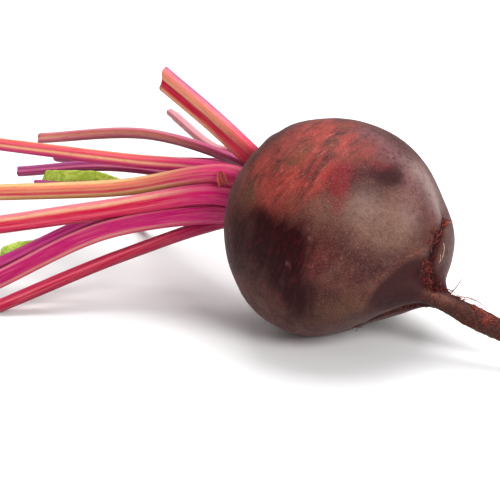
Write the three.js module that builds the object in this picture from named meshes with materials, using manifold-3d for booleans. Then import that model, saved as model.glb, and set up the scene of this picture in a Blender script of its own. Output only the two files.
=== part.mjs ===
// A whole beetroot as picked: the swollen root with its taproot and side roots, lying on its
// side, and the trimmed leaf stalks that grow from its crown.
// Millimetres, +Z up. The origin is the middle of the flat spot that the globe rests on, and
// +X runs level from the crown towards the taproot's tip.

import * as THREE from "three";
import Module from "manifold-3d";
import { mergeVertices } from "three/addons/utils/BufferGeometryUtils.js";

const wasm = await Module();
wasm.setup();

// Driving dimensions
const GLOBE_RADIUS = 38.3;
const GLOBE_HEIGHT = 36.1; // of the globe's middle, above the flat spot that it rests on
const AXIS_DIP = THREE.MathUtils.degToRad(23.3); // the taproot points down, the crown up
const REST_MIDDLE = [-6.1, 0.4]; // of the flat spot, from under the globe's middle
const FIT_GAP = 0.35; // between neighbouring pieces

const ROOT_SIDES = 36;
const STALK_SIDES = 16;
const STALK_STEPS = 12;
const STEP_CROWDING = 1.35; // the steps are shorter near a stalk's foot, where it bends most

const GLOBE_CENTRE = new THREE.Vector3(0, 0, GLOBE_HEIGHT);
const ROOT_AXIS = new THREE.Vector3(Math.cos(AXIS_DIP), 0, -Math.sin(AXIS_DIP));
const SIDEWAYS = new THREE.Vector3(0, 1, 0);

// The root's outline as shares of the globe's radius: [along the axis, radius]
const ROOT_OUTLINE = [
  [-1.03, 0],
  [-1.02, 0.18],
  [-0.985, 0.34],
  [-0.9, 0.55],
  [-0.79, 0.69],
  [-0.59, 0.84],
  [-0.32, 0.955],
  [-0.02, 1.0],
  [0.28, 0.96],
  [0.54, 0.835],
  [0.75, 0.645],
  [0.875, 0.44],
  [0.95, 0.262],
  [1.02, 0.162],
  [1.15, 0.118],
  [1.55, 0.096],
  [1.95, 0.084],
  [2.45, 0.066],
  [2.95, 0.044],
  [3.3, 0.022],
  [3.38, 0],
];
const POINTS_PER_SPAN = 2;

// The root's centreline from the globe's middle: straight through the globe, then the taproot
// runs out a little higher and lies down on the surface
const CENTRELINE = [
  [-40.4, 0, 17.4],
  [-13.8, 0, 5.9],
  [20.2, 0, -8.6],
  [36.4, 0, -15.4],
  [64.8, 4, -25],
  [84, 6.6, -30.8],
  [99, 7.2, -33.6],
  [112, 6.2, -34.7],
  [126, 3.6, -35.2],
];

// The two furrows that the side roots grow from, on opposite sides: the turn of each, in degrees
// from the upper side, on the globe, beside the taproot and along the taproot
const FURROWS = [
  [20, -25, 30],
  [-150, -138, -150],
];
const FURROW_DEPTH = 1.5;
const FURROW_WIDTH = 4.2;
const CLEFT_DEPTH = 1.3; // how much deeper the furrows are beside the taproot
const CLEFT_WIDTH = 3;

// The globe isn't quite round. Each bulge or hollow: [degrees from the crown, turn in degrees
// round the axis from the upper side, height]
const BULGES = [
  [20, -43, 1.3],
  [128, 42, -2.4],
  [160, 64, 3.1],
  [156, -110, -1.5],
  [137, -168, -4.8],
  [77, -141, 2.3],
];
const BULGE_SPREAD = THREE.MathUtils.degToRad(32);

// Leaf scars: low steps round the collar of the crown
const SCAR_HEIGHT = 0.45;
const SCAR_WAVES = 11;

const SIDE_ROOTS_PER_FURROW = 17;
const SIDE_ROOTS_PER_SIDE_OF_TAPROOT = 11;
const SIDE_ROOT_RADIUS = 0.42;

// Leaf stalks. seat is where the stalk is rooted, [upwards, sideways] from the root's axis. The
// stalk passes through via and is cut off at end; both are from under the globe's middle. taper
// is how much wider the cut end is, twist turns the channel round, slant tilts the cut.
const CROWN_MIDDLE = [-5, 0];
const CROWN_DEPTH = 35; // of the middle seats, from the globe's middle
const STALKS = [
  {
    seat: [4.9, -3.6], via: [-54, 0, 67.2], end: [-77, 3, 77.8],
    width: 7.9, taper: 0.06, twist: 120, slant: 0.5,
  },
  { seat: [-2, 3], via: [-91, 13, 52], end: [-154, 23, 37], width: 5.2, slant: -1.1 },
  { seat: [0.6, 5.4], via: [-65, 18, 49.4], end: [-97, 35, 53], width: 5.6, slant: 0.7 },
  { seat: [-1.5, -3.4], via: [-85, -10, 49.6], end: [-139, -22, 49.6], width: 5.4 },
  { seat: [-8.3, 2.4], via: [-96, -1, 42.8], end: [-142, -4, 33], width: 4.8 },
  { seat: [-8, -3.6], via: [-88, -10, 38.5], end: [-125, -14, 33.4], width: 4.8, twist: -120 },
  { seat: [-3.6, 9.6], via: [-103, 8, 40.3], end: [-138, 13, 35.4], width: 5.4 },
  { seat: [1.6, -9.6], via: [-82, -18, 42], end: [-128, -36, 36.4], width: 6.6 },
  { seat: [-4.6, -11], via: [-78, -23, 36.8], end: [-121, -43, 27.2], width: 7.4 },
  { seat: [-14.6, 3.6], via: [-86, -10, 30], end: [-124, -41, 10], width: 6.2 },
  { seat: [-11.4, -9.4], via: [-84, -26, 27.6], end: [-119, -47, 7], width: 7.8 },
  { seat: [-15.2, -3.6], via: [-76, -26, 20], end: [-110, -56, 2.5], width: 6.8 },
  { seat: [-10.4, 9], via: [-86, 28, 27], end: [-118, 40, 2.5], width: 6.4 },
];
const FLARE = 0.3; // how far the outer stalks lean outwards at their feet
const STALK_THICKNESS = 0.78; // as a share of its width
const CLASP_WIDENING = 0.15; // at the foot, where the stalk clasps the crown
const CLASP_THINNING = 0.3;
const CLASP_LENGTH = 0.2; // as a share of the stalk
const CHANNEL_DEPTH = 0.42;
const CHANNEL_WIDTH = 0.62;
const RIBS = 8;
const RIB_HEIGHT = 0.06;

// Strips of leaf blade left on a stalk where the leaf was cut off: which stalk and which of its
// edges, where the strip starts and stops as shares of the stalk, and its width.
const BLADE_STRIPS = [
  { stalk: 6, side: 1, start: 0.5, stop: 0.98, width: 5.4 },
  { stalk: 10, side: 1, start: 0.82, stop: 0.98, width: 5 },
];
const STRIP_THICKNESS = 0.9;
const STRIP_WAVE = 0.7;

const COLOURS = {
  root: { color: 0x5c3634, roughness: 0.55 },
  stalk: { color: 0xb8304f, roughness: 0.4 },
  strip: { color: 0x8ca62f, roughness: 0.5 },
};

// Seeded draws, so that the side roots fall the same way each time
function seededDraws(seed) {
  let state = seed;
  return () => {
    state = (state * 1664525 + 1013904223) % 4294967296;
    return state / 4294967296;
  };
}

function smooth(value, low, high) {
  const share = THREE.MathUtils.clamp((value - low) / (high - low), 0, 1);
  return share * share * (3 - 2 * share);
}

// An angle brought between minus and plus half a turn
function wrapped(turn) {
  return Math.atan2(Math.sin(turn), Math.cos(turn));
}

function bell(value, width) {
  return Math.exp(-((value / width) ** 2));
}

// A closed mesh's vertices merged, as a solid that can be joined and cut
function solidOf(geometry) {
  geometry.deleteAttribute("normal");
  geometry.deleteAttribute("uv");
  const merged = mergeVertices(geometry, 1e-4);
  const mesh = new wasm.Mesh({
    numProp: 3,
    vertProperties: merged.attributes.position.array,
    triVerts: new Uint32Array(merged.index.array),
  });
  return new wasm.Manifold(mesh);
}

function geometryOf(solid) {
  const mesh = solid.getMesh();
  const geometry = new THREE.BufferGeometry();
  geometry.setAttribute("position", new THREE.BufferAttribute(mesh.vertProperties, 3));
  geometry.setIndex(new THREE.BufferAttribute(mesh.triVerts, 1));
  geometry.computeVertexNormals();
  return geometry;
}

function largestPiece(solid) {
  return solid.decompose().reduce((most, piece) => (piece.volume() > most.volume() ? piece : most));
}

const centreline = new THREE.CatmullRomCurve3(
  CENTRELINE.map((point) => new THREE.Vector3(...point).add(GLOBE_CENTRE)),
  false,
  "centripetal",
);
centreline.arcLengthDivisions = 500;
const CENTRELINE_START = GLOBE_CENTRE.distanceTo(centreline.getPoint(0));

// The point and the directions on the root's centreline, at a distance from the globe's middle
function rootFrame(along) {
  const share = (along + CENTRELINE_START) / centreline.getLength();
  const inside = THREE.MathUtils.clamp(share, 0, 1);
  const tangent = centreline.getTangentAt(inside);
  const point = centreline.getPointAt(inside);
  point.addScaledVector(tangent, (share - inside) * centreline.getLength());
  const up = new THREE.Vector3().crossVectors(tangent, SIDEWAYS).normalize();
  const across = new THREE.Vector3().crossVectors(up, tangent);
  return { point, tangent, up, across };
}

// How far the bulges raise the skin at a place that is given along and away from the axis
function bulgeHeight(along, turn, radius) {
  const towards = new THREE.Vector3(-along, radius * Math.cos(turn), radius * Math.sin(turn));
  let height = 0;
  for (const [fromCrown, round, rise] of BULGES) {
    const [polar, angle] = [fromCrown, round].map(THREE.MathUtils.degToRad);
    const middle = new THREE.Vector3(Math.cos(polar), Math.sin(polar) * Math.cos(angle), 0);
    middle.z = Math.sin(polar) * Math.sin(angle);
    height += rise * bell(towards.angleTo(middle), BULGE_SPREAD);
  }
  return height * (1 - smooth(along / GLOBE_RADIUS, 0.95, 1.3));
}

function furrowTurn([onGlobe, besideTaproot, onTaproot], along) {
  const share = along / GLOBE_RADIUS;
  const turn = THREE.MathUtils.lerp(onGlobe, besideTaproot, smooth(share, 0.72, 0.94));
  return THREE.MathUtils.degToRad(THREE.MathUtils.lerp(turn, onTaproot, smooth(share, 1, 1.15)));
}

// How much the furrows and the leaf scars change the root's radius
function furrowDepth(along, turn, radius) {
  const share = along / GLOBE_RADIUS;
  const lowerHalf = smooth(share, 0.3, 0.75) * (1 - smooth(share, 1.05, 1.5));
  const besideTaproot = bell(share - 0.88, 0.13);
  let furrow = 0;
  for (const line of FURROWS) {
    const away = wrapped(turn - furrowTurn(line, along)) * radius;
    furrow += FURROW_DEPTH * lowerHalf * bell(away, FURROW_WIDTH);
    furrow += CLEFT_DEPTH * besideTaproot * bell(away, CLEFT_WIDTH);
  }
  const scars = SCAR_HEIGHT * bell(share + 0.93, 0.05) * Math.cos(SCAR_WAVES * turn + 30 * share);
  return Math.min(0.5 * radius, furrow - scars);
}

function skinPoint(along, turn, radius) {
  const raised = 1 + bulgeHeight(along, turn, radius) / Math.hypot(along, radius);
  const frame = rootFrame(along * raised);
  const reach = radius * raised - furrowDepth(along, turn, radius);
  return frame.point
    .addScaledVector(frame.up, Math.cos(turn) * reach)
    .addScaledVector(frame.across, Math.sin(turn) * reach);
}

const rootOutline = new THREE.SplineCurve(
  ROOT_OUTLINE.map(([along, radius]) => new THREE.Vector2(radius, along).multiplyScalar(GLOBE_RADIUS)),
);

// The plain outline's radius at a distance along the axis
function outlineRadius(along) {
  const samples = rootOutline.getPoints(12 * ROOT_OUTLINE.length);
  const next = samples.findIndex((sample) => sample.y >= along);
  if (next < 1) return 0;
  const before = samples[next - 1];
  const share = (along - before.y) / (samples[next].y - before.y);
  return THREE.MathUtils.lerp(before.x, samples[next].x, share);
}

function rootBody() {
  const points = rootOutline.getPoints(POINTS_PER_SPAN * (ROOT_OUTLINE.length - 1));
  const geometry = new THREE.LatheGeometry(points, ROOT_SIDES);
  const position = geometry.attributes.position;
  const vertex = new THREE.Vector3();
  for (let i = 0; i < position.count; i += 1) {
    vertex.fromBufferAttribute(position, i);
    const radius = Math.hypot(vertex.x, vertex.z);
    const moved = skinPoint(vertex.y, Math.atan2(-vertex.x, vertex.z), radius);
    position.setXYZ(i, moved.x, moved.y, moved.z);
  }
  return solidOf(geometry);
}

// A closed bar whose section is carried along frames. section returns how far a point of the rim
// (or, with rim 0, the middle of an end) lies along the frame's up and across directions, and
// how far ahead it lies in the last section.
function sweep(frameAt, sides, steps, section, overrun = 0) {
  const geometry = new THREE.CylinderGeometry(1, 1, 1, sides, steps);
  const position = geometry.attributes.position;
  const vertex = new THREE.Vector3();
  for (let i = 0; i < position.count; i += 1) {
    vertex.fromBufferAttribute(position, i);
    const share = vertex.y + 0.5;
    const rim = Math.min(1, Math.hypot(vertex.x, vertex.z));
    const frame = frameAt(share);
    const { up, across, ahead = 0 } = section(share, Math.atan2(vertex.x, vertex.z), rim);
    const end = share < 1e-6 ? -overrun : share > 1 - 1e-6 ? overrun + ahead : 0;
    frame.point
      .addScaledVector(frame.up, up)
      .addScaledVector(frame.across, across)
      .addScaledVector(frame.tangent, end);
    position.setXYZ(i, frame.point.x, frame.point.y, frame.point.z);
  }
  return solidOf(geometry);
}

// A frame along a curve, whose up direction keeps facing one way
function curveFrame(curve, share, facing) {
  const point = curve.getPointAt(share);
  const tangent = curve.getTangentAt(share);
  const across = new THREE.Vector3().crossVectors(tangent, facing).normalize();
  const up = new THREE.Vector3().crossVectors(across, tangent);
  return { point, tangent, up, across };
}

// A side root: a thin tapering bar, rooted in the skin and bent over to run along it
function sideRoot(along, turn, length, lean, twist) {
  const skin = (further, round) => skinPoint(along + further, turn + round, outlineRadius(along + further));
  const foot = skin(0, 0);
  const lengthwise = skin(0.6, 0).sub(skin(-0.6, 0)).normalize();
  const round = skin(0, 0.05).sub(skin(0, -0.05)).normalize();
  const outwards = new THREE.Vector3().crossVectors(lengthwise, round).normalize();
  const run = lengthwise.clone().multiplyScalar(lean * length);
  run.addScaledVector(round, twist * length);
  const curve = new THREE.CubicBezierCurve3(
    foot.clone().addScaledVector(outwards, -1.5),
    foot.clone().addScaledVector(outwards, 0.38 * length),
    foot.clone().addScaledVector(outwards, 0.34 * length).addScaledVector(run, 0.5),
    foot.clone().addScaledVector(outwards, 0.14 * length).add(run),
  );
  const section = (share, around, rim) => {
    const reach = SIDE_ROOT_RADIUS * (1 - 0.25 * share) * rim;
    return { up: Math.cos(around) * reach, across: Math.sin(around) * reach };
  };
  return sweep((share) => curveFrame(curve, share, round), 3, 3, section);
}

function sideRoots() {
  const draw = seededDraws(22);
  const between = (low, high) => low + (high - low) * draw();
  const roots = [];
  for (const line of FURROWS) {
    for (let i = 0; i < SIDE_ROOTS_PER_FURROW; i += 1) {
      const along = GLOBE_RADIUS * between(0.5, 1.12);
      const turn = furrowTurn(line, along) + between(-2.2, 2.2) / Math.max(4, outlineRadius(along));
      roots.push(sideRoot(along, turn, between(2.5, 5.5), between(-1, 1), between(-1, 1)));
    }
    for (let i = 0; i < SIDE_ROOTS_PER_SIDE_OF_TAPROOT; i += 1) {
      const along = GLOBE_RADIUS * between(1.12, 2.7);
      const drift = -0.9 * (along / GLOBE_RADIUS - 1.12);
      const turn = furrowTurn(line, along) + drift + between(-0.45, 0.45);
      roots.push(sideRoot(along, turn, between(2, 5), between(0.3, 1.3), between(-0.8, 0.8)));
    }
  }
  return roots;
}

// Where a stalk runs and which way its channel faces: the crown's middle, turned by its twist
function stalkPath({ seat, via, end, twist = 0 }) {
  const offset = seat.map((distance, i) => distance - CROWN_MIDDLE[i]);
  const frame = rootFrame(-CROWN_DEPTH + 0.02 * (seat[0] ** 2 + seat[1] ** 2));
  const foot = frame.point.clone();
  foot.addScaledVector(frame.up, seat[0]).addScaledVector(frame.across, seat[1]);
  const middle = new THREE.Vector3(...via);
  const leaving = frame.tangent.clone().negate();
  leaving.addScaledVector(frame.up, (FLARE * offset[0]) / 10);
  leaving.addScaledVector(frame.across, (FLARE * offset[1]) / 10);
  leaving.add(middle.clone().sub(foot).normalize()).normalize();
  const curve = new THREE.CatmullRomCurve3(
    [foot, foot.clone().addScaledVector(leaving, 12), middle, new THREE.Vector3(...end)],
    false,
    "centripetal",
  );
  const turn = Math.atan2(offset[1], offset[0]) + THREE.MathUtils.degToRad(twist);
  const facing = frame.up.clone().multiplyScalar(-Math.cos(turn));
  facing.addScaledVector(frame.across, -Math.sin(turn));
  return { curve, facing };
}

// Half the stalk's width and thickness at a share of its length
function stalkHalves({ width, taper = -0.12 }, share) {
  const clasp = 1 - smooth(share, 0, CLASP_LENGTH);
  const size = (width / 2) * (1 + taper * share);
  return {
    halfWidth: size * (1 + CLASP_WIDENING * clasp),
    halfThickness: size * STALK_THICKNESS * (1 - CLASP_THINNING * clasp),
  };
}

// The stalk's section: channelled towards the crown's middle and ribbed on its outer side
function stalkSection(stalk, grow) {
  const { slant = 0.25 } = stalk;
  return (share, around, rim) => {
    const { halfWidth, halfThickness } = stalkHalves(stalk, share ** STEP_CROWDING);
    const channel = CHANNEL_DEPTH * bell(wrapped(around), CHANNEL_WIDTH);
    const ribs = RIB_HEIGHT * Math.cos(RIBS * around) * (0.6 - 0.4 * Math.cos(around));
    const reach = rim * (1 - channel + ribs);
    const across = Math.sin(around) * (halfWidth * reach + grow * rim);
    return {
      up: Math.cos(around) * (halfThickness * reach + grow * rim),
      across,
      ahead: slant * across,
    };
  };
}

function stalkSolid(stalk, grow = 0) {
  const { curve, facing } = stalkPath(stalk);
  const frameAt = (share) => curveFrame(curve, share ** STEP_CROWDING, facing);
  return sweep(frameAt, STALK_SIDES, STALK_STEPS, stalkSection(stalk, grow), grow);
}

// A strip of blade that stands out from the edge of its stalk and widens towards the cut
function stripSolid({ stalk, side, start, stop, width }, grow = 0) {
  const host = STALKS[stalk - 1];
  const { curve, facing } = stalkPath(host);
  const hostShare = (share) => THREE.MathUtils.lerp(start, stop, share);
  const frameAt = (share) => curveFrame(curve, hostShare(share), facing);
  const section = (share, around, rim) => {
    const { halfWidth } = stalkHalves(host, hostShare(share));
    const height = width * (0.35 + 0.65 * smooth(share, 0.05, 0.5));
    const middle = halfWidth - 1.7 + height / 2;
    const wave = STRIP_WAVE * Math.sin(9 * share + side) * share;
    const face = THREE.MathUtils.clamp(1.6 * Math.cos(around), -1, 1);
    return {
      up: wave + rim * face * (STRIP_THICKNESS / 2 + grow),
      across: side * middle + rim * Math.sin(around) * (height / 2 + grow),
    };
  };
  return sweep(frameAt, 8, 10, section, grow);
}

// Everything rests on the level surface at the origin
const floor = solidOf(new THREE.BoxGeometry(500, 500, 40).translate(0, 0, -20));

function named(name, solid, look) {
  const material = new THREE.MeshStandardMaterial({ ...look, metalness: 0 });
  const geometry = geometryOf(solid).translate(-REST_MIDDLE[0], -REST_MIDDLE[1], 0);
  const mesh = new THREE.Mesh(geometry, material);
  mesh.name = name;
  return mesh;
}

const beetroot = new THREE.Group();
const placed = []; // the pieces so far, each a little larger than it is

function clearOfPlaced(solid) {
  const cut = placed.reduce((rest, other) => rest.subtract(other), solid);
  return largestPiece(cut.subtract(floor));
}

STALKS.forEach((stalk, i) => {
  const name = `leaf_stalk_${String(i + 1).padStart(2, "0")}`;
  beetroot.add(named(name, clearOfPlaced(stalkSolid(stalk)), COLOURS.stalk));
  placed.push(stalkSolid(stalk, FIT_GAP));
});

const root = sideRoots().reduce((solid, sideRootSolid) => solid.add(sideRootSolid), rootBody());
beetroot.add(named("root", clearOfPlaced(root), COLOURS.root));

BLADE_STRIPS.forEach((strip, i) => {
  beetroot.add(named(`leaf_strip_${i + 1}`, clearOfPlaced(stripSolid(strip)), COLOURS.strip));
  placed.push(stripSolid(strip, FIT_GAP));
});

export default beetroot;
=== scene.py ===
import math
import random

import bpy
import numpy as np
from mathutils import Matrix, Vector, noise


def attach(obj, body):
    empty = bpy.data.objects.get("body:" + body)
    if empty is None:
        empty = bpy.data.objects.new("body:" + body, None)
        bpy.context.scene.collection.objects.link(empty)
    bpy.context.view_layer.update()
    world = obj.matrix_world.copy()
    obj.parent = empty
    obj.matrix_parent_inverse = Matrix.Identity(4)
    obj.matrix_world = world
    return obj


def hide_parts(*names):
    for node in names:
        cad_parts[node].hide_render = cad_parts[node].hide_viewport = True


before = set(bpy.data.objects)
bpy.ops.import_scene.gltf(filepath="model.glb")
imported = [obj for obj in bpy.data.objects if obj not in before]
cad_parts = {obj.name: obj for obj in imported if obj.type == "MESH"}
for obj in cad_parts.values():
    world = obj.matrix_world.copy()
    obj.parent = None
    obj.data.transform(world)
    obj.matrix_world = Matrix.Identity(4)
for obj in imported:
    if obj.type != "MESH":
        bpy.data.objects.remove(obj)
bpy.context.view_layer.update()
print("frame loaded with", len(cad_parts), "nodes")

mm = 0.001  # the sizes below are in millimetres, and Blender works in metres

# The root is turned round an axis that dips towards the taproot. Places on it are given by how
# far they lie along that axis from the globe's middle, and by a turn from its upper side.
root = {
    "middle": (6.1, -0.4, 36.1),
    "radius": 38.3,
    "axisDip": 23.3,
    # the outline as shares of the radius: along the axis, away from it
    "outline": [
        (-1.03, 0), (-1.02, 0.18), (-0.985, 0.34), (-0.9, 0.55), (-0.79, 0.69), (-0.59, 0.84),
        (-0.32, 0.955), (-0.02, 1), (0.28, 0.96), (0.54, 0.835), (0.75, 0.645), (0.875, 0.44),
        (0.95, 0.262), (1.02, 0.162), (1.15, 0.118), (1.55, 0.096), (1.95, 0.084), (2.45, 0.066),
        (2.95, 0.044), (3.3, 0.022), (3.38, 0),
    ],
    # the centreline from the globe's middle, out to the tip of the taproot
    "centreline": [
        (-40.4, 0, 17.4), (-13.8, 0, 5.9), (20.2, 0, -8.6), (36.4, 0, -15.4), (64.8, 4, -25),
        (84, 6.6, -30.8), (99, 7.2, -33.6), (112, 6.2, -34.7), (126, 3.6, -35.2),
    ],
    # bulges and hollows: degrees from the crown, turn in degrees, height
    "bulges": [(20, -43, 1.3), (128, 42, -2.4), (160, 64, 3.1), (156, -110, -1.5), (137, -168, -4.8),
               (77, -141, 2.3)],
    "bulgeSpread": 32,
    "bulgesFade": (0.95, 1.3),  # in shares of the radius, like the places below
    # the furrows that the side roots grow from: their turns on the globe, beside and along the taproot
    "furrows": [(20, -25, 30), (-150, -138, -150)],
    "furrowTurns": ((0.72, 0.94), (1, 1.15)),  # where one turn runs into the next
    "furrowStarts": (0.3, 0.75),
    "furrowStops": (1.05, 1.5),
    "furrowDepth": 1.5,
    "furrowWidth": 4.2,
    "furrowShade": 3.6,  # width of the painted shading along a furrow
    "cleft": (0.88, 0.13),  # place and reach of the deeper part beside the taproot
    "cleftDepth": 1.3,
    "cleftWidth": 3,
    "slit": (0.86, 0.14),
    "slitDepth": 0.5,  # how much deeper the clefts are along their middle
    "slitWidth": 1.1,
    "scars": (-0.93, 0.05),
    "scarHeight": 0.45,
    "scarWaves": 11,
    "scarDrift": 30,
    "lumps": 0.22,  # height of the soft unevenness of the skin
    "lumpSizes": (13, 4),
    "pimples": 0.04,
    "pimpleSize": 1.3,
    "wrinkles": 0.16,  # height of the rings round the taproot
    "taprootSkin": (1, 1.3),  # where the globe's marks run out into the taproot's skin
    # the faint crease round the taproot's shoulder: turn in degrees, share of the radius
    "crease": [(-102, 0.73), (-76, 0.745), (-60, 0.765), (-46, 0.8), (-34, 0.83), (-20, 0.845)],
    "creaseDip": 0.7,
    # the rib on the taproot: share of the radius, turn in degrees
    "rib": [(0.9, -62), (0.96, -60), (1.04, -54), (1.16, -46), (1.3, -38)],
    "ribHeight": 0.45,
    "ribWidth": 1.3,
    "sides": 264,
    "ringsPerSpan": 13,
}

# Marks on the skin: degrees from the crown, turn in degrees, spread in degrees, strength
skinMarks = {
    "scuff": [(47, -55, 12, 0.8), (66, -58, 14, 1), (80, -42, 11, 1), (64, -26, 17, 1), (58, -4, 13, 0.7),
              (82, -14, 11, 0.6), (70, 140, 24, 0.8), (60, 70, 20, 0.5), (100, -160, 16, 0.6)],
    "crimson": [(94, -42, 6, 0.7), (88, -37, 7, 0.8), (89, -30, 6, 0.6), (99, -19, 6, 0.5),
                (104, -13, 6, 0.4), (98, -50, 5, 0.4), (106, -70, 11, 0.3), (102, -84, 9, 0.3),
                (72, -74, 5, 0.5), (80, 150, 9, 0.7), (95, 60, 8, 0.6)],
    # painted highlight: lighter greyish mauve on the upper right, where the light falls
    "mauveHighlight": [(80, 2, 11, 0.8), (97, -2, 10, 0.9), (112, -5, 9, 0.7), (122, -16, 9, 0.5),
              (134, 0, 8, 0.5), (90, 100, 14, 0.8), (120, 60, 14, 0.7)],
    # grey-beige bloom, partly the skin's own and partly a painted highlight on the lit middle and right
    "bloomAndHighlight": [(121, -41, 10, 1), (112, -46, 10, 0.8), (130, -42, 10, 0.6), (91, -54, 9, 0.7),
              (117, -20, 11, 0.5), (134, -28, 10, 0.5), (101, -44, 8, 0.5), (108, 110, 18, 0.9),
              (120, 165, 15, 0.7)],
    # painted shadow: near-black maroon on the lower left, the lower side and beside the taproot, standing
    # in for shadow and a dark reflection
    "paintedShade": [(86, -77, 13, 0.65), (76, -83, 12, 0.6), (95, -77, 12, 0.4), (88, -94, 14, 0.8),
              (101, -100, 11, 0.8), (58, -100, 16, 0.8), (66, -76, 6, 0.6), (90, 60, 16, 0.5),
              (107, -113, 9, 0.6), (158, -90, 8, 0.5), (155, -44, 5, 0.5)],
    # dark purple-red: the skin's own dark spots on the upper right, and painted shading beside the taproot
    "plumAndShade": [(97, -25, 5, 0.4), (102, -22, 6, 0.5), (107, -18, 6, 0.6), (110, -13, 6, 0.6),
             (105, -8, 6, 0.4), (154, -84, 11, 1), (153, -48, 7, 0.8), (156, 100, 16, 0.9)],
    # painted rim light: pale grey-pink towards the right edge, where the light grazes, and on the lit
    # middle
    "paintedRimLight": [(122, 14, 11, 0.9), (133, 15, 9, 0.8), (112, 6, 9, 0.6), (108, -38, 8, 0.35),
             (128, -24, 8, 0.35)],
    "nick": [(96, -70, 0.8, 1), (92, -87, 0.9, 1), (107, -74, 0.7, 1), (107, -69, 0.6, 0.9),
             (114, -69, 0.7, 1), (93, -66, 0.6, 0.8), (103, -82, 0.6, 0.8)],
    "olive": [(67, -3, 3, 1), (64, -31, 4.5, 0.9), (63, -41, 5, 0.9), (52, -72, 6, 1), (76, -60, 5, 0.6),
              (72, -20, 4, 0.5), (130, -103, 12, 0.6), (114, -108, 11, 0.4), (60, 160, 6, 0.8)],
    # painted highlight: a small pale grey spot of reflected light in the hollow of the neck
    "paintedNeckHighlight": [(159, -57, 2.6, 1), (165, -66, 2, 0.5)],
}

# skin colours; the near-black maroon is painted shadow, the greyish mauve, pale grey-pink and pale grey are
# painted highlights, and the grey-beige, dark purple-red and pale rib brown are partly painted light
skinLook = {
    "base": "4f2823", "baseDark": "351619", "scuff": "a33a35", "scuffFleck": "c47062",
    "scuffDark": "5a2a20", "crimson": "6f1721", "mauveHighlight": "775257", "bloomAndHighlight": "77594c", "paintedShade": "220205",
    "plumAndShade": "2a1114", "paintedRimLight": "9f8883", "nick": "b4716c", "olive": "463a25", "paintedNeckHighlight": "625a60",
    "tail": "3a1f1c", "rust": "7a3524", "rib": "86594b", "fleck": "a07a68", "crease": "7a4436",
    "roughness": (0.42, 0.6), "shine": 0.07, "paintedRimLightiness": 0.06, "bump": 0.4,
}

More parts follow.
